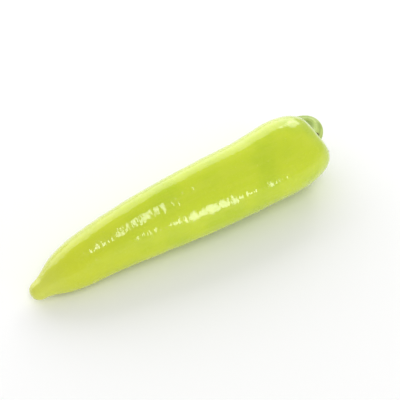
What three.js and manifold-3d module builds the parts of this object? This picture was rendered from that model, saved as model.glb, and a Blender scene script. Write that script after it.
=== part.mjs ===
// A long pale green sweet pepper, whole and as picked, lying on its side.
//
// Three grown pieces: the fruit, the green calyx that sits in the hollow at the fruit's stem end, and the hooked
// stem that stands on the calyx. Units are millimetres. +X runs from the blossom tip to the stem, +Z is up, and
// the origin is under the middle of the whole pepper, on the surface it lies on.
import * as THREE from "three";
import { mergeVertices } from "three/addons/utils/BufferGeometryUtils.js";
import Module from "manifold-3d";

// ---------------------------------------------------------------- the fruit
const FRUIT_LENGTH = 191; // blossom tip to the crest of the shoulders, along the fruit's middle line
const SHOULDER_WIDTH = 45.2; // widest part, near the stem end
const SHOULDER_LENGTH = 25; // from the crest back to the widest part
const WAIST_WIDTH = 42.4; // slight narrowing behind the shoulders
const BELLY_WIDTH = 41; // where the long taper to the nose begins
const NOSE_WIDTH = 29.2;
const NOSE_LENGTH = 37; // from the tip to the end of the blunt nose
const FLANK_WIDTH = 20.6; // on the steep side of the nose
const FLANK_LENGTH = 17;
const NUB_WIDTH = 11.2; // the small knob at the blossom tip
const NUB_LENGTH = 5.4;
const CREST_WIDTH = 25; // the ring on which the shoulders are highest
const HOLLOW_DEPTH = 5; // the hollow for the calyx, below the crest
const HOLLOW_FLOOR_WIDTH = 20; // how flat the hollow is: wider is flatter

// The fruit has three soft lobes: one ridge runs along the top, so that it lies on the flat side between two.
const LOBES = 3;
const LOBE_HEIGHT = 0.045; // share of the radius by which a ridge stands out
const LOBE_TURN = THREE.MathUtils.degToRad(-60); // how far the ridges wind round the fruit from tip to stem
const SHOULDER_SWELL = 1.2; // how far the shoulders rise on each lobe

// The middle line: it drops to the tip, so that the underside lies along the table, and bows to one side.
const SHOULDER_HEIGHT = 21; // of the middle line above the table, at the shoulders
const TIP_HEIGHT = 6.4;
const DROP_POWER = 3.2; // how late along the fruit the drop to the tip begins
const SIDE_BOW = 1.2; // to the right, most at half length
const SIDE_SWAY = 1.8; // an S on top of the bow: to the left behind the nose, to the right before the shoulders
const TIP_HOOK = 1.3; // how far the tip turns to the right
const TIP_HOOK_POWER = 9;
const END_TILT = THREE.MathUtils.degToRad(8); // of the stem end, away from square
const END_TILT_SIDE = THREE.MathUtils.degToRad(65); // the side of the fruit that is the shortest

// ---------------------------------------------------------------- the calyx and the stem
const JOIN_GAP = 0.3; // between two pieces that touch
const SEPALS = 6;
const CALYX_WIDTH = 25.6; // over its edge between two teeth, measured along the fruit's skin
const TOOTH_LENGTH = 3; // how far each pointed sepal tip reaches past that edge
const TOOTH_POINT = 7; // higher is narrower
const TOOTH_LIFT = 0.6; // how far a tip stands off the skin
const CALYX_THICKNESS = 1.1;
const EDGE_THICKNESS = 0.55;
const HUB_WIDTH = 15; // the flat boss on which the stem stands
const HUB_HEIGHT = 3.2; // above the floor of the hollow

const STEM_WIDTH = 7.4;
const FOOT_MARGIN = 0.1; // of the boss, left bare all round where the stem flares out over it
const STEM_FLARE = 5.2; // length over which most of the flare fades
const STEM_END_WIDTH = 8.2; // at the cut
const STEM_END_SWELL = 4; // length over which the stem widens to its cut end
const STEM_RIBS = 5;
const STEM_RIB_HEIGHT = 0.045; // share of the radius
const STEM_RUN = 3.5; // straight out of the calyx
const HOOK_RADIUS = 10;
const HOOK_TURN = THREE.MathUtils.degToRad(120);
const STEM_TAIL = 5; // straight again after the hook, to the cut
const STEM_DROOP = 19; // how far the cut end sags out of the hook's own plane
const HOOK_SIDE = THREE.MathUtils.degToRad(22); // which way it hooks: 0 is level and to the left, 90 is up

// How finely the pieces are faceted.
const FRUIT_SIDES = 48;
const FRUIT_STEPS = 7; // on each curve of the outline
const CALYX_SIDES = 72;
const CALYX_STEPS = 10; // from the boss to the edge, on the underside, so that it stays clear of the fruit's facets
const STEM_SIDES = 30;
const STEM_STEPS = 22;

const wasm = await Module();
wasm.setup();

// A closed geometry as a solid that can be cut.
function solidOf(geometry) {
  const bare = new THREE.BufferGeometry();
  bare.setAttribute("position", geometry.getAttribute("position"));
  bare.setIndex(geometry.index);
  const merged = mergeVertices(bare, 1e-3);
  return new wasm.Manifold(
    new wasm.Mesh({
      numProp: 3,
      vertProperties: merged.attributes.position.array,
      triVerts: new Uint32Array(merged.index.array),
    }),
  );
}

function geometryOf(solid) {
  const mesh = solid.getMesh();
  const geometry = new THREE.BufferGeometry();
  geometry.setAttribute("position", new THREE.BufferAttribute(mesh.vertProperties, 3));
  geometry.setIndex(new THREE.BufferAttribute(mesh.triVerts, 1));
  return geometry;
}

// Turns an outline of (radius, height) points about the Y axis, then moves every vertex to where
// place(radius, angle, height) puts it.
function lathe(outline, sides, place) {
  const geometry = new THREE.LatheGeometry(outline, sides);
  const position = geometry.getAttribute("position");
  for (let i = 0; i < position.count; i++) {
    const radius = Math.hypot(position.getX(i), position.getZ(i));
    const angle = Math.atan2(position.getX(i), position.getZ(i));
    const moved = place(radius, angle, position.getY(i));
    position.setXYZ(i, moved.x, moved.y, moved.z);
  }
  return geometry;
}

// The fruit's half outline, from the tip to the middle of the hollow. x is the radius and y runs along the fruit.
function fruitOutline() {
  const shoulderAt = FRUIT_LENGTH - SHOULDER_LENGTH;
  const barrel = shoulderAt - NOSE_LENGTH;
  const flank = [
    { along: NUB_LENGTH, width: NUB_WIDTH, slope: 0.12 },
    { along: FLANK_LENGTH, width: FLANK_WIDTH, slope: 0.4 },
    { along: NOSE_LENGTH, width: NOSE_WIDTH, slope: 0.1 },
    { along: NOSE_LENGTH + 0.56 * barrel, width: BELLY_WIDTH, slope: 0.035 },
    { along: NOSE_LENGTH + 0.8 * barrel, width: WAIST_WIDTH, slope: 0.02 },
    { along: shoulderAt, width: SHOULDER_WIDTH, slope: 0 },
  ];
  const crest = CREST_WIDTH / 2;
  const hollowAt = FRUIT_LENGTH - HOLLOW_DEPTH;
  const path = new THREE.Path();
  path.moveTo(0, 0);
  path.bezierCurveTo(
    0.6 * flank[0].width * 0.5, 0,
    0.5 * flank[0].width - flank[0].slope * 0.55 * NUB_LENGTH, 0.45 * NUB_LENGTH,
    0.5 * flank[0].width, NUB_LENGTH,
  );
  for (let i = 1; i < flank.length; i++) {
    const from = flank[i - 1];
    const to = flank[i];
    const third = (to.along - from.along) / 3;
    path.bezierCurveTo(
      from.width / 2 + from.slope * third, from.along + third,
      to.width / 2 - to.slope * third, to.along - third,
      to.width / 2, to.along,
    );
  }
  path.bezierCurveTo(
    SHOULDER_WIDTH / 2, shoulderAt + 0.55 * SHOULDER_LENGTH,
    crest + 0.65 * (SHOULDER_WIDTH / 2 - crest), FRUIT_LENGTH,
    crest, FRUIT_LENGTH,
  );
  path.bezierCurveTo(
    0.88 * crest, FRUIT_LENGTH,
    HOLLOW_FLOOR_WIDTH / 2, hollowAt,
    0, hollowAt,
  );
  return path;
}

// The fruit's middle line. t runs from 0 at the tip to 1 at the crest, and may go a little past it.
class Spine extends THREE.Curve {
  getPoint(t, target = new THREE.Vector3()) {
    const left = Math.max(0, 1 - t);
    const drop = left ** DROP_POWER;
    const hook = TIP_HOOK * left ** TIP_HOOK_POWER;
    return target.set(
      t * FRUIT_LENGTH,
      SIDE_SWAY * Math.sin(2 * Math.PI * t) - SIDE_BOW * Math.sin(Math.PI * t) - hook,
      TIP_HEIGHT + (SHOULDER_HEIGHT - TIP_HEIGHT) * (1 - drop),
    );
  }
}
const spine = new Spine();

// The spine's point and its three directions: ahead, to the left and up.
function ringAt(along) {
  const t = along / FRUIT_LENGTH;
  const centre = spine.getPoint(t);
  const ahead = spine.getPoint(t + 1e-3).sub(spine.getPoint(t - 1e-3)).normalize();
  const left = new THREE.Vector3(0, 0, 1).cross(ahead).normalize();
  const up = ahead.clone().cross(left);
  return { centre, ahead, left, up };
}

// Puts a point of a round blank on the lobed, bowed fruit. The angle is 0 to the left and a quarter turn at the top.
function onFruit(radius, angle, along) {
  const share = along / FRUIT_LENGTH;
  const ridge = Math.cos(LOBES * (angle - Math.PI / 2 - LOBE_TURN * (share - 0.5)));
  const nearEnd = THREE.MathUtils.smoothstep(along, FRUIT_LENGTH - 1.6 * SHOULDER_LENGTH, FRUIT_LENGTH - HOLLOW_DEPTH);
  const swell = SHOULDER_SWELL * ridge * THREE.MathUtils.smoothstep(radius, HUB_WIDTH / 2, SHOULDER_WIDTH / 2);
  const tilt = radius * Math.tan(END_TILT) * Math.cos(angle - END_TILT_SIDE);
  const lobed = radius * (1 + LOBE_HEIGHT * ridge);
  const { centre, ahead, left, up } = ringAt(along);
  return centre
    .addScaledVector(ahead, nearEnd * (swell - tilt))
    .addScaledVector(left, lobed * Math.cos(angle))
    .addScaledVector(up, lobed * Math.sin(angle));
}

// Everything of a piece that is below the table, cut away: it leaves the flat spots that the pepper rests on.
function restOnTable(geometry) {
  const under = new THREE.BoxGeometry(3 * FRUIT_LENGTH, 3 * FRUIT_LENGTH, SHOULDER_WIDTH);
  under.translate(0, 0, -SHOULDER_WIDTH / 2);
  return geometryOf(solidOf(geometry).subtract(solidOf(under)));
}

function fruit() {
  return restOnTable(lathe(fruitOutline().getPoints(FRUIT_STEPS), FRUIT_SIDES, onFruit));
}

// The fruit's skin at a distance from the middle of the hollow, as a function: the point (radius, along) and the
// direction out of the skin there.
function seatOf(outline) {
  const whole = outline.getLength();
  return (distance) => {
    const u = 1 - distance / whole;
    const point = outline.getPointAt(u);
    const tangent = outline.getTangentAt(u);
    return { point, out: new THREE.Vector2(-tangent.y, tangent.x).negate() };
  };
}

// A dish that lies on the skin of the hollow and the crest, with a boss in the middle and pointed teeth round its edge.
function calyx() {
  const seat = seatOf(fruitOutline());
  const hub = HUB_WIDTH / 2;
  const edge = CALYX_WIDTH / 2;
  const between = (share) => hub + share * (edge - hub);
  const slope = Array.from({ length: CALYX_STEPS + 1 }, (_, i) => between(i / CALYX_STEPS));
  const under = [0, 0.4 * hub, 0.8 * hub, ...slope];
  const over = [0.85, 0.6, 0.35].map(between);
  // Each point is (distance along the skin, height off it). The boss is flat: its height is from the hollow's floor.
  const outline = [
    ...under.map((distance) => new THREE.Vector2(distance, JOIN_GAP)),
    new THREE.Vector2(edge, JOIN_GAP + EDGE_THICKNESS),
    ...over.map((distance) => new THREE.Vector2(distance, JOIN_GAP + CALYX_THICKNESS)),
    new THREE.Vector2(hub, HUB_HEIGHT),
    new THREE.Vector2(0, HUB_HEIGHT),
  ];
  return lathe(outline, CALYX_SIDES, (distance, angle, height) => {
    const onBoss = height > 0.5 * (HUB_HEIGHT + JOIN_GAP + CALYX_THICKNESS);
    if (onBoss) return onFruit(distance, angle, FRUIT_LENGTH - HOLLOW_DEPTH + HUB_HEIGHT);
    const tooth = (0.5 + 0.5 * Math.cos(SEPALS * angle)) ** TOOTH_POINT;
    const out = Math.max(0, distance - hub) / (edge - hub);
    const { point, out: away } = seat(distance + out * tooth * TOOTH_LENGTH);
    const lift = height + TOOTH_LIFT * tooth * out ** 3;
    return onFruit(Math.max(0, point.x + away.x * lift), angle, point.y + away.y * lift);
  });
}

// The stem's middle line, from its foot at the origin: straight ahead along X, then a hook towards Y, then straight.
class Hook extends THREE.Curve {
  getPoint(t, target = new THREE.Vector3()) {
    const turned = HOOK_RADIUS * HOOK_TURN;
    const gone = t * (STEM_RUN + turned + STEM_TAIL);
    const angle = THREE.MathUtils.clamp(gone - STEM_RUN, 0, turned) / HOOK_RADIUS;
    const tail = Math.max(0, gone - STEM_RUN - turned);
    return target.set(
      Math.min(gone, STEM_RUN) + HOOK_RADIUS * Math.sin(angle) + tail * Math.cos(angle),
      HOOK_RADIUS * (1 - Math.cos(angle)) + tail * Math.sin(angle),
      -STEM_DROOP * t ** 3,
    );
  }
}

function stem() {
  const hook = new Hook();
  const length = STEM_RUN + HOOK_RADIUS * HOOK_TURN + STEM_TAIL;
  const foot = (HUB_WIDTH * (1 - LOBE_HEIGHT) - 2 * FOOT_MARGIN) / (1 + STEM_RIB_HEIGHT);
  const outline = [new THREE.Vector2(0, 0)];
  for (let i = 0; i <= STEM_STEPS; i++) {
    const along = (length * i) / STEM_STEPS;
    const flare = (foot - STEM_WIDTH) * Math.exp(-((along / STEM_FLARE) ** 1.4));
    const swell = (STEM_END_WIDTH - STEM_WIDTH) * Math.exp(-(length - along) / STEM_END_SWELL);
    outline.push(new THREE.Vector2((STEM_WIDTH + flare + swell) / 2, along));
  }
  outline.push(new THREE.Vector2(0, length));
  return lathe(outline, STEM_SIDES, (radius, angle, along) => {
    const t = along / length;
    const ahead = hook.getTangent(t);
    const side = new THREE.Vector3(-ahead.y, ahead.x, 0).normalize();
    const up = ahead.cross(side);
    const ribbed = radius * (1 + STEM_RIB_HEIGHT * Math.cos(STEM_RIBS * angle));
    return hook
      .getPoint(t)
      .addScaledVector(side, ribbed * Math.cos(angle))
      .addScaledVector(up, ribbed * Math.sin(angle));
  });
}

function piece(name, geometry, color, roughness) {
  const mesh = new THREE.Mesh(geometry, new THREE.MeshStandardMaterial({ color, roughness, metalness: 0 }));
  mesh.name = name;
  return mesh;
}

// The stem stands on the boss of the calyx and is turned about the fruit's line to the side it hooks to.
function standStem() {
  const bossTop = FRUIT_LENGTH - HOLLOW_DEPTH + HUB_HEIGHT;
  const centre = onFruit(0, 0, bossTop);
  const left = onFruit(1, 0, bossTop).sub(centre).normalize();
  const up = onFruit(1, Math.PI / 2, bossTop).sub(centre);
  const ahead = left.clone().cross(up).normalize();
  up.crossVectors(ahead, left);
  const turned = new THREE.Group();
  turned.position.copy(centre).addScaledVector(ahead, JOIN_GAP);
  turned.quaternion
    .setFromRotationMatrix(new THREE.Matrix4().makeBasis(ahead, left, up))
    .multiply(new THREE.Quaternion().setFromAxisAngle(new THREE.Vector3(1, 0, 0), HOOK_SIDE));
  turned.add(piece("stem", stem(), 0x9cb84c, 0.5));
  return turned;
}

const pepper = new THREE.Group();
pepper.add(
  piece("fruit", fruit(), 0xc5d92d, 0.25),
  piece("calyx", calyx(), 0x8ea739, 0.55),
  standStem(),
);

// The origin is under the middle of the pepper.
pepper.updateMatrixWorld(true);
const middle = new THREE.Box3().setFromObject(pepper, true).getCenter(new THREE.Vector3());
pepper.position.set(-middle.x, -middle.y, 0);

export default pepper;
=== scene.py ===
# %% [markdown]
# # A long sweet pepper
#
# This lesson finishes a pale green sweet pepper that lies on a white table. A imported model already
# says where its three grown pieces are: the fruit, the green calyx at the stem end, and the hooked
# stem. Here each of them gets its real skin, made from a rule instead of by hand: an outline, a bent
# middle line, soft lobes, and small ripples.

import math

import bpy
import numpy as np
from mathutils import Matrix, Vector
from mathutils.geometry import interpolate_bezier


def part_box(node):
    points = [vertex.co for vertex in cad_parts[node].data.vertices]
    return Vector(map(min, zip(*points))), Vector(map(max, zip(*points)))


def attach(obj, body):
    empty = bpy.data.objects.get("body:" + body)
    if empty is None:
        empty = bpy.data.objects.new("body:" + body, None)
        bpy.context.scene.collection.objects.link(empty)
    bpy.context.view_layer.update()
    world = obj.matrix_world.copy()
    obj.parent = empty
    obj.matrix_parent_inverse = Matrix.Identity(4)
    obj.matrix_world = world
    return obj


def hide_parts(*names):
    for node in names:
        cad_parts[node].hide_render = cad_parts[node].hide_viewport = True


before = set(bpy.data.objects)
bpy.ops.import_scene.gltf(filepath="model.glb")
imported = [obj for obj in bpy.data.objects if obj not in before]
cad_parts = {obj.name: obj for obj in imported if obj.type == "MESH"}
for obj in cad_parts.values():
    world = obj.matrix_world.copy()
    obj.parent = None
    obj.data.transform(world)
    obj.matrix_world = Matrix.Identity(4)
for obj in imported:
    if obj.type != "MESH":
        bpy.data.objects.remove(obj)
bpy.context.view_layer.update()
MM = 0.001
print("packed pieces:", sorted(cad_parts))

# %% [markdown]
# ## One rule for numbers and for nodes
#
# The shape of a pepper can be written as sums, products and sines. A Geometry Nodes tree can work
# those out for every point of a mesh, and plain Python can work them out for a single point, such as
# the place where the stem stands. To write the rule only once, the class below lets a node's output
# be added and multiplied like a number: each sign in a formula adds one Math node to the tree.

# %% Numbers that a node tree works out
class Field:
    """A number that Geometry Nodes works out for every point."""

    def __init__(self, tree, socket):
        self.tree = tree
        self.socket = socket

    def math(self, operation, *others):
        node = self.tree.nodes.new("ShaderNodeMath")
        node.operation = operation
        for slot, value in zip(node.inputs, (self, *others)):
            if isinstance(value, Field):
                self.tree.links.new(value.socket, slot)
            else:
                slot.default_value = value
        return Field(self.tree, node.outputs[0])

    def __add__(self, other):
        return self.math("ADD", other)

    def __sub__(self, other):
        return self.math("SUBTRACT", other)

    def __mul__(self, other):
        return self.math("MULTIPLY", other)

    def __truediv__(self, other):
        return self.math("DIVIDE", other)

    def __pow__(self, other):
        return self.math("POWER", other)

    def __rsub__(self, other):
        return self * -1.0 + other

    def __neg__(self):
        return self * -1.0

    __radd__ = __add__
    __rmul__ = __mul__


def sine(x):
    return x.math("SINE") if isinstance(x, Field) else np.sin(x)


def cosine(x):
    return sine(x + math.pi / 2)


def at_least(x, low):
    return x.math("MAXIMUM", low) if isinstance(x, Field) else np.maximum(x, low)


def at_most(x, high):
    return x.math("MINIMUM", high) if isinstance(x, Field) else np.minimum(x, high)


def ease(x, low, high):
    """0 below low and 1 above high, with a smooth step between them."""
    share = at_most(at_least((x - low) / (high - low), 0.0), 1.0)
    return share * share * (3.0 - 2.0 * share)


def unit(x, y, z):
    length = (x * x + y * y + z * z) ** 0.5
    return x / length, y / length, z / length


def cross(a, b):
    return a[1] * b[2] - a[2] * b[1], a[2] * b[0] - a[0] * b[2], a[0] * b[1] - a[1] * b[0]


print("a smooth step at its middle:", ease(0.5, 0.0, 1.0))

# %% [markdown]
# ## The fruit's sizes
#
# These are the fruit's sizes, in metres: how wide it is at the shoulders, where the nose begins, how
# far the tip hooks, how strong the three lobes are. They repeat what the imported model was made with,
# so the skin lies where the model has it.

# %% Sizes of the fruit
FRUIT_LENGTH = 191 * MM
SHOULDER_WIDTH = 45.2 * MM
SHOULDER_LENGTH = 25 * MM
WAIST_WIDTH = 42.4 * MM
BELLY_WIDTH = 41 * MM
NOSE_WIDTH = 29.2 * MM
NOSE_LENGTH = 37 * MM
FLANK_WIDTH = 20.6 * MM
FLANK_LENGTH = 17 * MM
NUB_WIDTH = 11.2 * MM
NUB_LENGTH = 5.4 * MM
CREST_WIDTH = 25 * MM
HOLLOW_DEPTH = 5 * MM
HOLLOW_FLOOR_WIDTH = 20 * MM

LOBES = 3
LOBE_HEIGHT = 0.045
LOBE_TURN = math.radians(-60)
SHOULDER_SWELL = 1.2 * MM

SHOULDER_HEIGHT = 21 * MM
TIP_HEIGHT = 6.4 * MM
DROP_POWER = 3.2
SIDE_BOW = 1.2 * MM
SIDE_SWAY = 1.8 * MM
TIP_HOOK = 1.3 * MM
TIP_HOOK_POWER = 9.0
END_TILT = math.radians(8)
END_TILT_SIDE = math.radians(65)

HUB_WIDTH = 15 * MM
HUB_HEIGHT = 3.2 * MM
print("the fruit is", round(FRUIT_LENGTH / SHOULDER_WIDTH, 1), "times as long as it is wide")

# %% [markdown]
# ## The outline
#
# Cut lengthways, the fruit shows a half outline: the small knob at the blossom end, the steep side of
# the nose, the long barrel, the round shoulder and the hollow for the stem. A Bezier curve suits it,
# because a few knots with their handles give the whole smooth line. Its X is the radius and its Y
# runs along the fruit.


# %% Two kinds of curve objects
def bezier_curve(name, knots, resolution=32):
    """knots are (left handle, knot, right handle), each an (x, y) pair."""
    curve = bpy.data.curves.new(name, "CURVE")
    curve.dimensions = "3D"
    spline = curve.splines.new("BEZIER")
    spline.bezier_points.add(len(knots) - 1)
    spline.resolution_u = resolution
    for point, (before, knot, after) in zip(spline.bezier_points, knots):
        point.handle_left_type = point.handle_right_type = "FREE"
        point.co = (*knot, 0)
        point.handle_left = (*before, 0)
        point.handle_right = (*after, 0)
    return bpy.data.objects.new(name, curve)


def soft_curve(name, points):
    """A smooth line drawn towards its points, given as (x, y, z)."""
    curve = bpy.data.curves.new(name, "CURVE")
    curve.dimensions = "3D"
    spline = curve.splines.new("NURBS")
    spline.points.add(len(points) - 1)
    for point, place in zip(spline.points, points):
        point.co = (*place, 1)
    spline.order_u = 3
    spline.use_endpoint_u = True
    spline.resolution_u = 8
    return bpy.data.objects.new(name, curve)


def fruit_knots():
    """The half outline, from the tip to the middle of the hollow."""
    shoulder_at = FRUIT_LENGTH - SHOULDER_LENGTH
    barrel = shoulder_at - NOSE_LENGTH
    flank = (  # distance along, radius, slope
        (NUB_LENGTH, NUB_WIDTH / 2, 0.12),
        (FLANK_LENGTH, FLANK_WIDTH / 2, 0.4),
        (NOSE_LENGTH, NOSE_WIDTH / 2, 0.1),
        (NOSE_LENGTH + 0.56 * barrel, BELLY_WIDTH / 2, 0.035),
        (NOSE_LENGTH + 0.8 * barrel, WAIST_WIDTH / 2, 0.02),
        (shoulder_at, SHOULDER_WIDTH / 2, 0.0),
    )
    crest = CREST_WIDTH / 2
    knots = [((0, 0), (0, 0), (0.3 * NUB_WIDTH, 0))]
    before = 0.55 * NUB_LENGTH
    for i, (along, radius, slope) in enumerate(flank):
        last = i == len(flank) - 1
        after = 0.55 * SHOULDER_LENGTH if last else (flank[i + 1][0] - along) / 3
        handle_before = (radius - slope * before, along - before)
        handle_after = (radius + slope * after, along + after)
        knots.append((handle_before, (radius, along), handle_after))
        before = after
    round_off = crest + 0.65 * (SHOULDER_WIDTH / 2 - crest)
    hollow_at = FRUIT_LENGTH - HOLLOW_DEPTH
    knots.append(((round_off, FRUIT_LENGTH), (crest, FRUIT_LENGTH), (0.88 * crest, FRUIT_LENGTH)))
    knots.append(((HOLLOW_FLOOR_WIDTH / 2, hollow_at), (0, hollow_at), (0, hollow_at)))
    return knots


outline_knots = fruit_knots()
outline = bezier_curve("fruit_outline", outline_knots)
print("the outline has", len(outline_knots), "knots")

# %% [markdown]
# ## From a straight blank to the bent fruit
#
# Turned round its axis, the outline would give a straight, perfectly round blank. The real fruit
# droops to its tip, sways a little from side to side, and has three soft lobes that wind slowly round
# it. The rule below takes a point of the blank (radius, angle, distance along) and says where that
# point is on the grown fruit.


# %% The rule of the grown fruit
def middle_line(t):
    """The fruit's bent middle line: t is 0 at the tip and 1 at the crest of the shoulders."""
    left = at_least(1.0 - t, 0.0)
    sway = SIDE_SWAY * sine(2 * math.pi * t) - SIDE_BOW * sine(math.pi * t)
    rise = (SHOULDER_HEIGHT - TIP_HEIGHT) * (1.0 - left**DROP_POWER)
    return FRUIT_LENGTH * t, sway - TIP_HOOK * left**TIP_HOOK_POWER, TIP_HEIGHT + rise


def ring(t):
    """Two directions across the fruit, to the left and up, and the one ahead."""
    behind, before = middle_line(t - 0.001), middle_line(t + 0.001)
    ahead = unit(*(b - a for a, b in zip(behind, before)))
    left = unit(-ahead[1], ahead[0], 0.0 * ahead[2])
    return ahead, left, cross(ahead, left)


def onto_fruit(radius, angle, along):
    """Where a point of the round blank is on the lobed, bent fruit."""
    t = along / FRUIT_LENGTH
    ridge = cosine(LOBES * (angle - math.pi / 2 - LOBE_TURN * (t - 0.5)))
    near_end = ease(along, FRUIT_LENGTH - 1.6 * SHOULDER_LENGTH, FRUIT_LENGTH - HOLLOW_DEPTH)
    swell = SHOULDER_SWELL * ridge * ease(radius, HUB_WIDTH / 2, SHOULDER_WIDTH / 2)
    tilt = math.tan(END_TILT) * radius * cosine(angle - END_TILT_SIDE)
    push = near_end * (swell - tilt)
    lobed = radius * (1.0 + LOBE_HEIGHT * ridge)
    to_left, to_up = lobed * cosine(angle), lobed * sine(angle)
    ahead, left, up = ring(t)
    centre = middle_line(t)
    return tuple(
        centre[i] + push * ahead[i] + to_left * left[i] + to_up * up[i] for i in range(3)
    )


print("the tip is", round(middle_line(0.0)[2] / MM, 1), "mm above the table")

# %% [markdown]
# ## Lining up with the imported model
#
# The rule starts at the middle line's own zero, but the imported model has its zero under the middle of
# the whole pepper. Worked out on a coarse net of points, the rule gives a box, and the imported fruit's
# box says how far to slide.


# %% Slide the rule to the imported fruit
def outline_points(steps=24):
    points = []
    for (_, start, out), (into, end, _) in zip(outline_knots, outline_knots[1:]):
        points += interpolate_bezier(*(Vector((*p, 0)) for p in (start, out, into, end)), steps)
    return np.array([(p.x, p.y) for p in points])


def find_start():
    blank = outline_points()
    angles = np.linspace(0, 2 * math.pi, 180, endpoint=False)
    radius, angle = np.meshgrid(blank[:, 0], angles)
    along, _ = np.meshgrid(blank[:, 1], angles)
    grown = onto_fruit(radius, angle, along)
    low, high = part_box("fruit")
    middle = [(c.min() + c.max()) / 2 for c in grown]
    return Vector(((low.x + high.x) / 2 - middle[0], (low.y + high.y) / 2 - middle[1], 0))


START = find_start()
print("the rule slides by", tuple(round(c / MM, 2) for c in START), "mm")

# %% [markdown]
# ## A small kit for building trees
#
# Geometry Nodes trees are often drawn by hand. Built by a script, the same steps come back in each
# one: add a node, link it, read a curve at some distance, add some noise. The class below holds those
# steps.


# %% A tree under construction
class Recipe:
    """A Geometry Nodes tree with named inputs, and shorthands for the nodes used here."""

    def __init__(self, name):
        self.tree = bpy.data.node_groups.new(name, "GeometryNodeTree")
        self.tree.is_modifier = True
        self.tree.interface.new_socket("Geometry", in_out="OUTPUT", socket_type="NodeSocketGeometry")
        self.start = self.tree.nodes.new("NodeGroupInput")
        self.end = self.tree.nodes.new("NodeGroupOutput")

    def input(self, name, kind="Float"):
        self.tree.interface.new_socket(name, in_out="INPUT", socket_type="NodeSocket" + kind)
        output = next(o for o in self.start.outputs if o.name == name)
        return Field(self.tree, output) if kind in ("Float", "Int") else output

    def node(self, kind, settings=(), **links):
        """Adds a node; an underscore in a link's name stands for a space in the socket's name."""
        node = self.tree.nodes.new(kind)
        for key, value in dict(settings).items():
            setattr(node, key, value)
        for key, value in links.items():
            name = key.replace("_", " ")
            slot = next(s for s in node.inputs if s.name == name and s.enabled)
            value = value.socket if isinstance(value, Field) else value
            if isinstance(value, bpy.types.NodeSocket):
                self.tree.links.new(value, slot)
            else:
                slot.default_value = value
        return node

    def vector(self, x, y, z):
        return self.node("ShaderNodeCombineXYZ", X=x, Y=y, Z=z).outputs[0]

    def parts(self, socket):
        node = self.node("ShaderNodeSeparateXYZ", Vector=socket)
        return [Field(self.tree, output) for output in node.outputs]

    def grid(self, across, along):
        """A flat net from 0 to 1 both ways: its mesh, and its two coordinates."""
        node = self.node("GeometryNodeMeshGrid", Vertices_X=across, Vertices_Y=along)
        u, v, _ = self.parts(node.outputs["UV Map"])
        return node.outputs["Mesh"], node.outputs["UV Map"], u, v

    def read_curve(self, source, factor):
        """Position, tangent and normal on a curve object at a share of its length."""
        curve = self.node("GeometryNodeObjectInfo", Object=source).outputs["Geometry"]
        node = self.node("GeometryNodeSampleCurve", {"mode": "FACTOR"}, Curves=curve, Factor=factor)
        return [self.parts(node.outputs[n]) for n in ("Position", "Tangent", "Normal")]

    def curve_length(self, source):
        curve = self.node("GeometryNodeObjectInfo", Object=source).outputs["Geometry"]
        return Field(self.tree, self.node("GeometryNodeCurveLength", Curve=curve).outputs["Length"])

    def noise(self, vector, seed, detail=2.0):
        """Smooth noise from about -1 to 1, with a wave about one unit long."""
        settings = {"noise_dimensions": "4D"}
        node = self.node("ShaderNodeTexNoise", settings, Vector=vector, W=seed, Scale=1.0, Detail=detail)
        return 2.0 * Field(self.tree, node.outputs[0]) - 1.0

    def store(self, mesh, name, value, kind="FLOAT", domain="POINT"):
        settings = {"data_type": kind, "domain": domain}
        store = "GeometryNodeStoreNamedAttribute"
        return self.node(store, settings, Geometry=mesh, Name=name, Value=value).outputs[0]

    def place(self, mesh, position):
        return self.node("GeometryNodeSetPosition", Geometry=mesh, Position=position).outputs[0]

    def close(self, mesh, material):
        """Welds the seam and the poles, and finishes the tree."""
        mesh = self.node("GeometryNodeMergeByDistance", Geometry=mesh, Distance=0.001 * MM).outputs[0]
        mesh = self.node("GeometryNodeSetShadeSmooth", Geometry=mesh).outputs[0]
        mesh = self.node("GeometryNodeRealizeInstances", Geometry=mesh).outputs[0]
        mesh = self.node("GeometryNodeSetMaterial", Geometry=mesh, Material=material).outputs[0]
        self.tree.links.new(mesh, self.end.inputs[0])
        print(self.tree.name, "has", len(self.tree.nodes), "nodes")
        return self.tree


# %% Run a tree and keep a plain mesh
def grow(name, tree, inputs):
    """Runs a tree once and keeps what it made as an ordinary mesh at the origin."""
    piece = bpy.data.objects.new(name, bpy.data.meshes.new(name))
    bpy.context.scene.collection.objects.link(piece)
    modifier = piece.modifiers.new("Rule", "NODES")
    modifier.node_group = tree
    for item in tree.interface.items_tree:
        if item.in_out == "INPUT" and item.name in inputs:
            modifier[item.identifier] = inputs[item.name]
    graph = bpy.context.evaluated_depsgraph_get()
    mesh = bpy.data.meshes.new_from_object(piece.evaluated_get(graph), depsgraph=graph)
    piece.modifiers.remove(modifier)
    piece.data = mesh
    mesh.name = name
    print(name, "has", len(mesh.polygons), "faces")
    return piece


# %% [markdown]
# ## The skin's finish
#
# The skin of such a pepper is a thin, waxy, slightly translucent film over pale flesh. It is a
# yellowish green, a little greener in some patches and paler at the tip, with fine lengthways streaks
# and small pale flecks. A clear coat gives the sharp wax highlights, some light is let into the
# flesh, and a bump gives the very fine orange-peel of the skin. First come a few shorthands, so that
# each finish below reads as a short list of colours and patterns.


# %% Shorthands for materials
def linear(code):
    """A colour as a screen shows it, such as c8d93a, as the linear numbers that a shader wants."""
    parts = [int(code[i : i + 2], 16) / 255 for i in (0, 2, 4)]
    return (*(c / 12.92 if c <= 0.04045 else ((c + 0.055) / 1.055) ** 2.4 for c in parts), 1)


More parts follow.
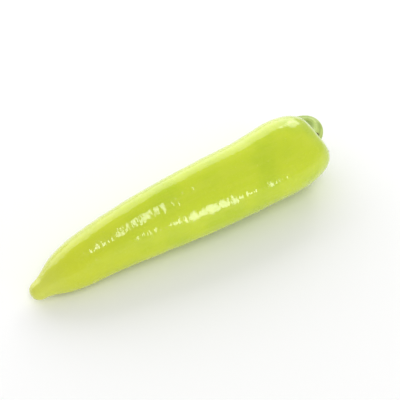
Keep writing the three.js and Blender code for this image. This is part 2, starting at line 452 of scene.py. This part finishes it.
class Finish:
    """A material under construction.

    A socket is given by its name, with underscores for its spaces, or by its number after an underscore.
    """

    def __init__(self, name, **sockets):
        self.material = bpy.data.materials.new(name)
        self.material.use_nodes = True
        self.nodes = self.material.node_tree.nodes
        self.links = self.material.node_tree.links
        self.shader = self.nodes["Principled BSDF"]
        self.set(self.shader, sockets)

    def set(self, node, sockets):
        for key, value in sockets.items():
            slot = node.inputs[int(key[1:])] if key[0] == "_" else node.inputs[key.replace("_", " ")]
            if isinstance(value, bpy.types.NodeSocket):
                self.links.new(value, slot)
            else:
                slot.default_value = value

    def add(self, kind, settings=(), **sockets):
        node = self.nodes.new(kind)
        for key, value in dict(settings).items():
            setattr(node, key, value)
        self.set(node, sockets)
        return node.outputs[0]

    def attribute(self, name):
        return self.add("ShaderNodeAttribute", {"attribute_name": name})

    def number(self, name):
        node = self.nodes.new("ShaderNodeAttribute")
        node.attribute_name = name
        return node.outputs["Fac"]

    def here(self):
        return self.nodes.new("ShaderNodeTexCoord").outputs["Object"]

    def stretch(self, vector, x, y, z):
        return self.add("ShaderNodeMapping", Vector=vector, Scale=(x, y, z))

    def noise(self, vector, size, detail=3.0):
        return self.add("ShaderNodeTexNoise", Vector=vector, Scale=1 / size, Detail=detail)

    def ramp(self, value, low, high, to_low=0.0, to_high=1.0):
        settings = {"interpolation_type": "SMOOTHSTEP"}
        return self.add("ShaderNodeMapRange", settings, _0=value, _1=low, _2=high, _3=to_low, _4=to_high)

    def times(self, a, b):
        return self.add("ShaderNodeMath", {"operation": "MULTIPLY"}, _0=a, _1=b)

    def plus(self, a, b):
        return self.add("ShaderNodeMath", {"operation": "ADD"}, _0=a, _1=b)

    def mix(self, share, a, b):
        node = self.nodes.new("ShaderNodeMix")
        node.data_type = "RGBA"
        self.set(node, {"_0": share, "_6": a, "_7": b})
        return node.outputs[2]

    def bump(self, height, depth):
        return self.add("ShaderNodeBump", Height=height, Distance=depth, Strength=1.0)


print("pure green in linear numbers:", linear("00ff00"))

# %% [markdown]
# The wax isn't flat: it has faint ripples a few millimetres long, so that the reflection of a window
# breaks up into bright patches. Only the clear coat needs them, so they are given to the coat's own
# normal, and the base keeps its fine grain. The streaks and the ripples are laid on the straight
# blank, whose coordinates are stored with each point, so they follow the fruit round its bends. The
# other patterns have no direction and read the object's own coordinates.


# %% The waxy skin
def skin_finish():
    skin = Finish(
        "waxy_skin",
        Coat_Weight=1.0,
        Coat_Roughness=0.07,
        Coat_IOR=1.5,
        IOR=1.42,
        Specular_IOR_Level=0.2,
        Subsurface_Weight=0.25,
        Subsurface_Radius=(1.0, 0.9, 0.25),
        Subsurface_Scale=4 * MM,
    )
    place = skin.attribute("straight")
    here = skin.here()

    patches = skin.ramp(skin.noise(here, 24 * MM, 2), 0.4, 0.64)
    streaks = skin.ramp(skin.noise(skin.stretch(place, 0.12, 1, 1), 2.2 * MM, 3), 0.42, 0.68)
    flecks = skin.ramp(skin.noise(here, 1.1 * MM, 2), 0.66, 0.74)
    colour = skin.mix(patches, linear("c9da1c"), linear("bed314"))
    colour = skin.mix(skin.times(streaks, 0.16), colour, linear("d8e04e"))
    colour = skin.mix(skin.times(flecks, 0.25), colour, linear("e2e87c"))

    share = skin.number("share")
    yellow_nose = skin.ramp(share, 0.5, 0.1, 0.0, 0.6)
    pale_tip = skin.ramp(share, 0.14, 0.0, 0.0, 0.6)
    green_end = skin.ramp(share, 0.93, 1.0, 0.0, 0.5)
    colour = skin.mix(yellow_nose, colour, linear("d0d620"))
    colour = skin.mix(pale_tip, colour, linear("d8dc66"))
    colour = skin.mix(green_end, colour, linear("a9c53c"))
    cork_grain = skin.ramp(skin.noise(here, 0.4 * MM, 3), 0.4, 0.6)
    cork = skin.mix(cork_grain, linear("5d4c2c"), linear("93834a"))
    colour = skin.mix(skin.ramp(skin.number("scar"), 0.2, 0.6), colour, cork)

    roughness = skin.ramp(skin.noise(here, 6 * MM, 3), 0.3, 0.7, 0.2, 0.3)
    peel = skin.bump(skin.noise(here, 0.9 * MM, 2), 0.012 * MM)
    turn, squeeze = (0, 0.4, 0.4), (1, 0.4, 0.4)
    slanted = skin.add("ShaderNodeMapping", Vector=place, Rotation=turn, Scale=squeeze)
    wax_ripples = skin.bump(skin.noise(slanted, 2.6 * MM, 1), 0.26 * MM)
    skin.set(skin.shader, {"Base_Color": colour, "Roughness": roughness, "Normal": peel})
    skin.set(skin.shader, {"Coat_Normal": wax_ripples})
    return skin.material


waxy_skin = skin_finish()
print("made", waxy_skin.name)

# %% [markdown]
# ## The fruit
#
# On the real fruit the skin is one closed surface from the blossom scar to the hollow under the
# calyx. A flat net of points is wrapped onto the rule: one way runs round the fruit and the other
# along the outline. Noise that is long round the fruit and short along it gives the fine cross
# ripples that break up highlights, and a slower noise gives the gentle lumps. Both fade out at the
# tip and under the calyx. Where the skin reaches the table it is pressed flat.

# %% Where the skin is calm
BARREL_RADIUS = 18 * MM
TIP_CALM = 5 * MM
END_CALM = (15 * MM, 24 * MM)
RIPPLE_PATCH = (22 * MM, 16 * MM)
PRESS = 0.4 * MM
print("lumps fade out between", [round(d / MM) for d in END_CALM], "mm from the middle of the hollow")


# %% The tree of the fruit's skin
def fruit_recipe():
    make = Recipe("fruit_skin")
    source = make.input("Outline", "Object")
    material = make.input("Material", "Material")
    sides = make.input("Sides", "Int")
    rings = make.input("Rings", "Int")
    lump = make.input("Lump height")
    lump_size = make.input("Lump size")
    ripple = make.input("Ripple height")
    ripple_length = make.input("Ripple length")
    ripple_width = make.input("Ripple width")
    scar_width = make.input("Scar width")
    scar_depth = make.input("Scar depth")
    seed = make.input("Seed")

    mesh, chart, u, v = make.grid(sides, rings)
    angle = 2 * math.pi * u
    (radius, along, _), _, _ = make.read_curve(source, v)
    round_y, round_z = cosine(angle), sine(angle)
    whole = make.curve_length(source)
    from_end = (1.0 - v) * whole
    calm = ease(radius, 0.0, TIP_CALM) * ease(from_end, *END_CALM)

    def wave(length, width, offset, detail):
        to_left, to_up = BARREL_RADIUS * round_y, BARREL_RADIUS * round_z
        spot = make.vector(along / length, to_left / width, to_up / width)
        return make.noise(spot, seed + offset, detail)

    radius_now = radius + calm * lump * wave(lump_size, lump_size, 0.0, 1.0)
    mask = 0.55 + 0.45 * wave(*RIPPLE_PATCH, 5.0, 1.0)
    radius_now = radius_now + calm * mask * ripple * wave(ripple_length, ripple_width, 9.0, 1.0)
    at_tip = 1.0 - ease(along, 0.5 * FRUIT_LENGTH, 0.6 * FRUIT_LENGTH)
    scar = at_tip * (1.0 - ease(radius, 0.25 * scar_width, 0.6 * scar_width))
    along_now = along + scar * scar_depth

    x, y, z = onto_fruit(radius_now, angle, along_now)
    z = z.math("SMOOTH_MAX", 0.0, PRESS)
    mesh = make.store(mesh, "UVMap", chart, "FLOAT2", "CORNER")
    mesh = make.store(mesh, "share", along / FRUIT_LENGTH)
    mesh = make.store(mesh, "scar", scar)
    straight = make.vector(along, BARREL_RADIUS * round_y, BARREL_RADIUS * round_z)
    mesh = make.store(mesh, "straight", straight, "FLOAT_VECTOR")
    mesh = make.place(mesh, make.vector(x + START.x, y + START.y, z))
    return make.close(mesh, material)


fruit_inputs = {
    "Outline": outline,
    "Material": waxy_skin,
    "Sides": 241,
    "Rings": 400,
    "Lump height": 0.35 * MM,
    "Lump size": 17 * MM,
    "Ripple height": 0.17 * MM,
    "Ripple length": 3.4 * MM,
    "Ripple width": 7 * MM,
    "Scar width": 2.4 * MM,
    "Scar depth": 0.5 * MM,
    "Seed": 3.0,
}
fruit = grow("fruit_skin", fruit_recipe(), fruit_inputs)
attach(fruit, "root")
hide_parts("fruit")

# %% [markdown]
# ## The calyx
#
# The calyx is the green cap that was once the flower's cup. Its sepals have grown together into one
# dish, with a pointed tooth where each sepal ends, a rib down the middle of each, and a thick boss
# that carries the stem. It hugs the skin of the hollow and the crest, so the same outline curve is
# read here, by the distance from the middle of the hollow. A profile curve says how high the dish
# stands off the skin: its X is that distance, its Y the height, and its Z, from 0 to 1 mm, turns the
# part that follows the skin into the flat boss. It starts under the dish, goes round the rim and ends
# at the middle of the boss.

# %% The calyx's profile
SEPALS = 6
CALYX_WIDTH = 25.6 * MM
calyx_points = (  # in mm
    (0, 0.12, 0),
    (6, 0.12, 0),
    (12.3, 0.12, 0),
    (12.75, 0.12, 0),
    (12.95, 0.4, 0),
    (12.7, 0.8, 0),
    (12.2, 0.95, 0),
    (11, 1.2, 0),
    (9.6, 1.5, 0.05),
    (8.6, 1.9, 0.35),
    (7.9, 2.5, 0.8),
    (7.55, 3.0, 1),
    (7.1, 3.2, 1),
    (6.3, 3.15, 1),
    (5.6, 2.95, 1),
    (0, 2.9, 1),
)
calyx_profile = soft_curve("calyx_profile", [tuple(c * MM for c in point) for point in calyx_points])
print("the calyx's profile has", len(calyx_points), "points")

# %% [markdown]
# The calyx is tougher and duller than the skin: a leaf-green in two shades, paler on the ribs, darker
# along the rim, and dried to brown at the points of the teeth. The tree below stores where a point is
# on a rib, on the rim or at a tip, so the finish only has to mix its colours by those numbers.


# %% The calyx's finish
def calyx_finish():
    leaf = Finish("green_calyx", IOR=1.45, Subsurface_Weight=0.12, Subsurface_Scale=1.5 * MM)
    leaf.set(leaf.shader, {"Subsurface_Radius": (0.6, 1.0, 0.2)})
    leaf.set(leaf.shader, {"Coat_Weight": 0.1, "Coat_Roughness": 0.25})
    here = leaf.here()
    patches = leaf.ramp(leaf.noise(here, 5 * MM, 3), 0.38, 0.66)
    fine = leaf.ramp(leaf.noise(here, 0.8 * MM, 3), 0.35, 0.7)
    colour = leaf.mix(patches, linear("93ab3c"), linear("7d9a30"))
    colour = leaf.mix(leaf.times(leaf.number("rib"), 0.75), colour, linear("a9bf58"))
    colour = leaf.mix(leaf.times(fine, 0.3), colour, linear("6f8c2b"))
    colour = leaf.mix(leaf.times(leaf.number("rim"), 0.5), colour, linear("66792a"))
    dry = leaf.ramp(leaf.plus(leaf.number("tip"), leaf.times(fine, 0.25)), 0.8, 1.15)
    colour = leaf.mix(dry, colour, linear("7b6a35"))
    roughness = leaf.ramp(leaf.noise(here, 2 * MM, 2), 0.3, 0.7, 0.42, 0.6)
    grain = leaf.bump(leaf.noise(here, 0.35 * MM, 3), 0.05 * MM)
    leaf.set(leaf.shader, {"Base_Color": colour, "Roughness": roughness, "Normal": grain})
    return leaf.material


green_calyx = calyx_finish()
print("made", green_calyx.name)

# %% [markdown]
# The tree sweeps the profile round the stem end. A cosine with one wave for each sepal, raised to a
# power, gives the pointed teeth, and a higher power gives the thin ribs. Slow noise makes the teeth
# uneven, as on a real calyx, and quick noise gives its grooves and wrinkles.


# %% The tree of the calyx
def calyx_recipe():
    make = Recipe("calyx")
    outline_source = make.input("Outline", "Object")
    profile_source = make.input("Profile", "Object")
    material = make.input("Material", "Material")
    sides = make.input("Sides", "Int")
    rings = make.input("Rings", "Int")
    sepals = make.input("Sepals")
    hub = make.input("Boss radius")
    edge = make.input("Edge radius")
    tooth_length = make.input("Tooth length")
    tooth_point = make.input("Tooth point")
    tooth_lift = make.input("Tooth lift")
    rib_height = make.input("Rib height")
    groove_height = make.input("Groove height")
    wrinkle_height = make.input("Wrinkle height")
    boss_wrinkle = make.input("Boss wrinkle")
    seed = make.input("Seed")

    mesh, chart, u, v = make.grid(sides, rings)
    angle = 2 * math.pi * u
    round_y, round_z = cosine(angle), sine(angle)
    (distance, height, flat), _, _ = make.read_curve(profile_source, v)
    flat = flat / MM
    out = at_least((distance - hub) / (edge - hub), 0.0)
    top = ease(height, 0.3 * MM, 0.8 * MM)

    def around(size, offset, detail=1.0):
        spot = make.vector(round_y * size, round_z * size, distance / (6 * MM))
        return make.noise(spot, seed + offset, detail)

    turned = angle + 0.16 * make.noise(make.vector(round_y, round_z, 0.0), seed, 1.0)
    sepal = 0.5 + 0.5 * cosine(sepals * turned)
    tooth = sepal**tooth_point
    round_spot = make.vector(round_y * 1.6, round_z * 1.6, 0.5)
    long_tooth = 1.0 + 0.3 * make.noise(round_spot, seed + 3.0, 1.0)
    reach = distance + out * tooth * long_tooth * tooth_length + 0.4 * MM * out * around(2.5, 5.0)
    seat_at = 1.0 - reach / make.curve_length(outline_source)
    (seat_radius, seat_along, _), (lean_x, lean_y, _), _ = make.read_curve(outline_source, seat_at)

    rib = sepal**14.0 * ease(out, 0.0, 0.3) * (1.0 - ease(out, 0.85, 1.1))
    valley = (1.0 - sepal) ** 2.0 * ease(out, 0.0, 0.5)
    grooves = around(14.0, 7.0, 2.0) * 0.5 + around(30.0, 8.0, 2.0) * 0.3
    wrinkle_spot = make.vector(distance / (0.7 * MM), round_y * 5.0, round_z * 5.0)
    wrinkle = make.noise(wrinkle_spot, seed + 9.0, 2.0)
    relief = rib_height * (rib - 0.35 * valley) + groove_height * grooves * ease(out, 0.0, 0.25)
    relief = relief + wrinkle_height * wrinkle
    lift = height + tooth_lift * tooth * out**3.0 + top * relief
    on_boss = FRUIT_LENGTH - HOLLOW_DEPTH + height + boss_wrinkle * top * wrinkle
    radius_now = (1.0 - flat) * (seat_radius + lean_y * lift) + flat * distance
    along_now = (1.0 - flat) * (seat_along - lean_x * lift) + flat * on_boss

    x, y, z = onto_fruit(at_least(radius_now, 0.0), angle, along_now)
    mesh = make.store(mesh, "UVMap", chart, "FLOAT2", "CORNER")
    mesh = make.store(mesh, "rib", at_least(rib + 0.4 * grooves, 0.0) * top)
    mesh = make.store(mesh, "rim", ease(out, 0.86, 1.0))
    mesh = make.store(mesh, "tip", tooth**0.7 * ease(out, 0.55, 1.0))
    mesh = make.place(mesh, make.vector(x + START.x, y + START.y, z))
    return make.close(mesh, material)


calyx_inputs = {
    "Outline": outline,
    "Profile": calyx_profile,
    "Material": green_calyx,
    "Sides": 361,
    "Rings": 170,
    "Sepals": float(SEPALS),
    "Boss radius": HUB_WIDTH / 2,
    "Edge radius": CALYX_WIDTH / 2,
    "Tooth length": 2.5 * MM,
    "Tooth point": 6.0,
    "Tooth lift": 0.1 * MM,
    "Rib height": 0.4 * MM,
    "Groove height": 0.16 * MM,
    "Wrinkle height": 0.07 * MM,
    "Boss wrinkle": 0.05 * MM,
    "Seed": 1.7,
}
calyx = grow("green_calyx", calyx_recipe(), calyx_inputs)
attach(calyx, "root")
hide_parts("calyx")

# %% [markdown]
# ## The stem
#
# The stem is a stiff green hook. It flares out over the calyx, has five soft ridges, fine lengthways
# fibres and some creases on the inside of its bend, and it ends in a cut: a pale fibrous ring round a
# dark, star-shaped pith that has dried and sunk in. A profile curve gives its radius, a second curve
# gives its middle line, and the tree wraps the one round the other.

# %% The stem's line and profile
JOIN_GAP = 0.3 * MM
STEM_WIDTH = 7.4 * MM
FOOT_WIDTH = 13.5 * MM
STEM_FLARE = 5.2 * MM
STEM_END_WIDTH = 8.2 * MM
STEM_END_SWELL = 4 * MM
STEM_RUN = 3.5 * MM
HOOK_RADIUS = 10 * MM
HOOK_TURN = math.radians(120)
STEM_TAIL = 5 * MM
STEM_DROOP = 19 * MM
HOOK_SIDE = math.radians(22)
STEM_LENGTH = STEM_RUN + HOOK_RADIUS * HOOK_TURN + STEM_TAIL
STEM_SINK = 0.1 * MM
CUT_MARK = 0.1 * MM


def stem_stand():
    """Where the stem stands on the boss, and its directions: ahead, to the side it hooks to, and up."""
    boss = FRUIT_LENGTH - HOLLOW_DEPTH + HUB_HEIGHT
    foot = Vector(onto_fruit(0.0, 0.0, boss))
    left = (Vector(onto_fruit(MM, 0.0, boss)) - foot).normalized()
    ahead = left.cross(Vector(onto_fruit(MM, math.pi / 2, boss)) - foot).normalized()
    side = left * math.cos(HOOK_SIDE) + ahead.cross(left) * math.sin(HOOK_SIDE)
    return START + foot, ahead, side, ahead.cross(side)


stem_foot, stem_ahead, stem_side, stem_up = stem_stand()


def stem_line(steps=48):
    """Straight out of the calyx, round the hook, and straight again, while it sags."""
    turned = HOOK_RADIUS * HOOK_TURN
    points = []
    for i in range(steps + 1):
        t = i / steps
        gone = t * STEM_LENGTH
        angle = min(max(gone - STEM_RUN, 0.0), turned) / HOOK_RADIUS
        tail = max(0.0, gone - STEM_RUN - turned)
        ahead = min(gone, STEM_RUN) + HOOK_RADIUS * math.sin(angle) + tail * math.cos(angle)
        side = HOOK_RADIUS * (1 - math.cos(angle)) + tail * math.sin(angle)
        point = stem_foot + (JOIN_GAP + ahead) * stem_ahead + side * stem_side
        points.append(point - STEM_DROOP * t**3 * stem_up)
    points[0] = stem_foot - STEM_SINK * stem_ahead
    return points


def stem_radius(along):
    flare = (FOOT_WIDTH - STEM_WIDTH) * math.exp(-((along / STEM_FLARE) ** 1.4))
    swell = (STEM_END_WIDTH - STEM_WIDTH) * math.exp(-(STEM_LENGTH - along) / STEM_END_SWELL)
    return (STEM_WIDTH + flare + swell) / 2


def stem_points(steps=40):
    """X is the radius, Y the distance along, and Z is CUT_MARK on the cut and 0 elsewhere."""
    foot, end = stem_radius(0), stem_radius(STEM_LENGTH)
    points = [(0, 0, 0), (0.9 * foot, 0, 0), (foot, 0.1 * MM, 0)]
    for t in np.linspace(0.02, 0.99, steps):
        points.append((stem_radius(t * STEM_LENGTH), t * STEM_LENGTH, 0))
    points.append((end, STEM_LENGTH, 0))
    points.append((end - 0.3 * MM, STEM_LENGTH, CUT_MARK))
    points.append((0, STEM_LENGTH, CUT_MARK))
    return points


stem_middle = soft_curve("stem_middle", stem_line())
stem_profile = soft_curve("stem_profile", stem_points())
print("the stem is", round(STEM_LENGTH / MM, 1), "mm long")

# %% [markdown]
# The stem is paler than the calyx, with darker fibres that run along it, so its noise is stretched
# lengthways on the straight stalk. The grooves between its ridges get painted shade. The cut is dry
# wood, and the sunken pith in its middle is nearly black.


# %% The stem's finish
def stem_finish():
    stalk = Finish("green_stem", IOR=1.45, Subsurface_Weight=0.12, Subsurface_Scale=1.5 * MM)
    stalk.set(stalk.shader, {"Subsurface_Radius": (0.6, 1.0, 0.2)})
    stalk.set(stalk.shader, {"Coat_Weight": 0.15, "Coat_Roughness": 0.3})
    here = stalk.here()
    place = stalk.attribute("straight")
    streaks = stalk.ramp(stalk.noise(stalk.stretch(place, 0.12, 1, 1), 0.9 * MM, 3), 0.35, 0.68)
    patches = stalk.ramp(stalk.noise(here, 6 * MM, 3), 0.38, 0.64)
    specks = stalk.ramp(stalk.noise(stalk.stretch(place, 0.4, 1, 1), 0.55 * MM, 2), 0.68, 0.74)
    colour = stalk.mix(patches, linear("c4d872"), linear("adc355"))
    colour = stalk.mix(stalk.times(streaks, 0.45), colour, linear("86a035"))
    # Painted shade: the grooves between the stem's five ridges are darkened, so the ridges read lighter.
    colour = stalk.mix(stalk.times(stalk.number("groove"), 0.3), colour, linear("748e2e"))
    colour = stalk.mix(stalk.times(specks, 0.5), colour, linear("6c6a30"))
    fibres = stalk.ramp(stalk.noise(here, 0.3 * MM, 3), 0.35, 0.65)
    wood = stalk.mix(fibres, linear("b9b07a"), linear("8d8552"))
    colour = stalk.mix(stalk.number("cut"), colour, wood)
    colour = stalk.mix(stalk.number("pith"), colour, linear("3f2c1a"))
    roughness = stalk.ramp(stalk.number("cut"), 0.0, 1.0, 0.45, 0.85)
    grain = stalk.bump(stalk.noise(stalk.stretch(place, 0.3, 1, 1), 0.3 * MM, 3), 0.05 * MM)
    stalk.set(stalk.shader, {"Base_Color": colour, "Roughness": roughness, "Normal": grain})
    return stalk.material


green_stem = stem_finish()
print("made", green_stem.name)

# %% [markdown]
# The tree wraps a net round the middle line. At each point of the line it finds two directions across
# it, and sets the net's points out along them by the profile's radius, with the ridges, fibres and
# creases added. On the cut it moves points back along the stem instead, which gives the rough end and
# the star of the pith.

# %% Where the stem is bent
STALK_RADIUS = 3.5 * MM
BEND_START = (5 * MM, 9 * MM)
BEND_END = (22 * MM, 27 * MM)
print("the bend is", round((BEND_END[1] - BEND_START[0]) / MM), "mm long")


# %% The tree of the stem
def stem_recipe():
    make = Recipe("stem")
    profile_source = make.input("Profile", "Object")
    line_source = make.input("Middle line", "Object")
    material = make.input("Material", "Material")
    up_x, up_y, up_z = make.input("Up X"), make.input("Up Y"), make.input("Up Z")
    sides = make.input("Sides", "Int")
    rings = make.input("Rings", "Int")
    length = make.input("Length")
    ribs = make.input("Ribs")
    rib_height = make.input("Rib height")
    fibre = make.input("Fibre height")
    pith_width = make.input("Pith width")
    pith_depth = make.input("Pith depth")
    crease_height = make.input("Crease height")
    cut_roughness = make.input("Cut roughness")
    seed = make.input("Seed")

    mesh, chart, u, v = make.grid(sides, rings)
    angle = 2 * math.pi * u
    round_y, round_z = cosine(angle), sine(angle)
    (radius, along, cut), _, _ = make.read_curve(profile_source, v)
    cut = cut / CUT_MARK

    def wave(length_along, across, offset, detail=1.0):
        spot = make.vector(along / length_along, round_y * across, round_z * across)
        return make.noise(spot, seed + offset, detail)

    turned = ribs * angle + 0.5 * make.noise(make.vector(along / (12 * MM), 0.0, 0.0), seed, 1.0)
    ridge = cosine(turned)
    inside = ease(round_y, 0.1, 0.9) * ease(along, *BEND_START) * (1.0 - ease(along, *BEND_END))
    shape = 1.0 + rib_height * (ridge + 0.3 * ridge * ridge) + 0.03 * wave(9 * MM, 1.3, 2.0)
    texture = fibre * wave(9 * MM, 9.0, 4.0, 2.0) + 0.3 * fibre * wave(2 * MM, 12.0, 5.0, 2.0)
    creases = crease_height * inside * wave(1.3 * MM, 1.6, 6.0, 2.0)
    side_only = 1.0 - cut
    radius_now = radius * (shape + (texture + creases * side_only) / (0.5 * STEM_WIDTH))

    star = 0.5 * pith_width * (1.0 + 0.22 * cosine(turned + math.pi) + 0.25 * wave(1.0, 2.2, 7.0, 2.0))
    pith = cut * (1.0 - ease(radius / star, 0.75, 1.15))
    rough_spot = make.vector(radius / (0.5 * MM), round_y * 4.0, round_z * 4.0)
    rough = cut_roughness * make.noise(rough_spot, seed + 8.0, 2.0)
    rays = 0.1 * MM * wave(1.0, 14.0, 9.0, 2.0)
    along_now = along - pith * pith_depth - cut * (0.15 * MM + rough + rays)

    (x, y, z), ahead, _ = make.read_curve(line_source, at_least(along_now / length, 0.0))
    up = (up_x, up_y, up_z)
    side = unit(*cross(up, ahead))
    over = cross(ahead, side)
    point = [c + radius_now * (round_y * s + round_z * o) for c, s, o in zip((x, y, z), side, over)]
    mesh = make.store(mesh, "UVMap", chart, "FLOAT2", "CORNER")
    mesh = make.store(mesh, "cut", cut)
    mesh = make.store(mesh, "pith", pith)
    # Painted shade: marks the grooves between the ridges, where the finish darkens the stem.
    mesh = make.store(mesh, "groove", ease(ridge * -1.0, 0.1, 1.0) * side_only)
    straight = make.vector(along, STALK_RADIUS * round_y, STALK_RADIUS * round_z)
    mesh = make.store(mesh, "straight", straight, "FLOAT_VECTOR")
    mesh = make.place(mesh, make.vector(*point))
    return make.close(mesh, material)


stem_inputs = {
    "Profile": stem_profile,
    "Middle line": stem_middle,
    "Material": green_stem,
    "Up X": stem_up.x,
    "Up Y": stem_up.y,
    "Up Z": stem_up.z,
    "Sides": 181,
    "Rings": 300,
    "Length": STEM_LENGTH,
    "Ribs": 5.0,
    "Rib height": 0.045,
    "Fibre height": 0.05 * MM,
    "Pith width": 3.4 * MM,
    "Pith depth": 1.2 * MM,
    "Crease height": 0.12 * MM,
    "Cut roughness": 0.12 * MM,
    "Seed": 4.2,
}
stem = grow("green_stem", stem_recipe(), stem_inputs)
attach(stem, "root")
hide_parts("stem")

# %% [markdown]
# ## The table
#
# The pepper lies on a plain white table. One large flat square does, with its edges far away.


# %% White table
def white_table():
    paint = Finish("white_table", Roughness=0.9, Base_Color=(0.96, 0.96, 0.96, 1))
    mesh = bpy.data.meshes.new("table")
    edge = 3.0
    corners = [(-edge, -edge, 0), (edge, -edge, 0), (edge, edge, 0), (-edge, edge, 0)]
    mesh.from_pydata(corners, [], [(0, 1, 2, 3)])
    mesh.materials.append(paint.material)
    table = bpy.data.objects.new("table", mesh)
    bpy.context.scene.collection.objects.link(table)
    print("the table is", 2 * edge, "m wide")


white_table()

# %% [markdown]
# ## The light
#
# A glossy skin shows the room in its highlights, so the lights are placed as the windows and walls of
# a bright room would be. A white world fills all shadows. A broad soft wall behind draws the pale
# band along the fruit's upper edge, and a window beside it carries that band on to the shoulder. Two
# smaller windows in front, one high and one low, leave the two rows of broken highlights. The skin
# mirrors a light where it faces half-way between that light and the camera, and that says in which
# direction each of them has to stand.

# %% Directions round the pepper
PEPPER_MIDDLE = Vector((0, 0, 20 * MM))
LIGHT_DISTANCE = 1.2
ROOM_BRIGHTNESS = 0.63


def looking(azimuth, elevation):
    """A direction from the pepper: azimuth 0 is the side that faces -Y, 90 is the stem end."""
    a, e = math.radians(azimuth), math.radians(elevation)
    return Vector((math.sin(a) * math.cos(e), -math.cos(a) * math.cos(e), math.sin(e)))


def facing(target, direction, distance, roll=0.0):
    """The place and turn of a light or camera that looks at a target from a direction."""
    turn = direction.to_track_quat("Z", "Y").to_matrix().to_4x4()
    return Matrix.Translation(target + direction * distance) @ turn @ Matrix.Rotation(roll, 4, "Z")


print("up is", tuple(round(c, 3) for c in looking(0, 90)))


# %% Soft light
def soft_light(name, azimuth, elevation, size, power, roll=0.0):
    light = bpy.data.lights.new(name, "AREA")
    light.shape = "RECTANGLE"
    light.size, light.size_y = size
    light.energy = power
    lamp = bpy.data.objects.new(name, light)
    lamp.matrix_world = facing(PEPPER_MIDDLE, looking(azimuth, elevation), LIGHT_DISTANCE, roll)
    bpy.context.scene.collection.objects.link(lamp)
    print(name, "gives", power, "W")


soft_light("back_wall", 172, 27, (2.2, 1.07), 11.5)
soft_light("side_window", 121, 27, (0.4, 0.5), 1.6)
soft_light("high_window", -8, 60, (0.15, 0.8), 2.5)
soft_light("low_window", 12, 6, (0.36, 0.29), 2.2, math.radians(41))

world = bpy.data.worlds.new("white_room")
world.use_nodes = True
background = world.node_tree.nodes["Background"]
background.inputs["Color"].default_value = (1, 1, 1, 1)
background.inputs["Strength"].default_value = ROOM_BRIGHTNESS
bpy.context.scene.world = world
bpy.context.scene.view_settings.view_transform = "Standard"

# %% [markdown]
# ## The camera
#
# A long lens from about half a metre shows a small thing without making its near end look swollen.
# The camera looks down from the front left, across the tip, so that the fruit runs from the lower
# left to the upper right.

# %% Camera
LENS = 80
CAMERA_DISTANCE = 0.524
AIM = Vector((11.51, 3.58, 9.08)) * MM

camera_data = bpy.data.cameras.new("camera")
camera_data.lens = LENS
camera_data.clip_start = 0.01
camera = bpy.data.objects.new("camera", camera_data)
camera.matrix_world = facing(AIM, looking(-34, 46), CAMERA_DISTANCE)
bpy.context.scene.collection.objects.link(camera)
bpy.context.scene.camera = camera
print("the camera is", round(camera.matrix_world.translation.z, 3), "m above the table")
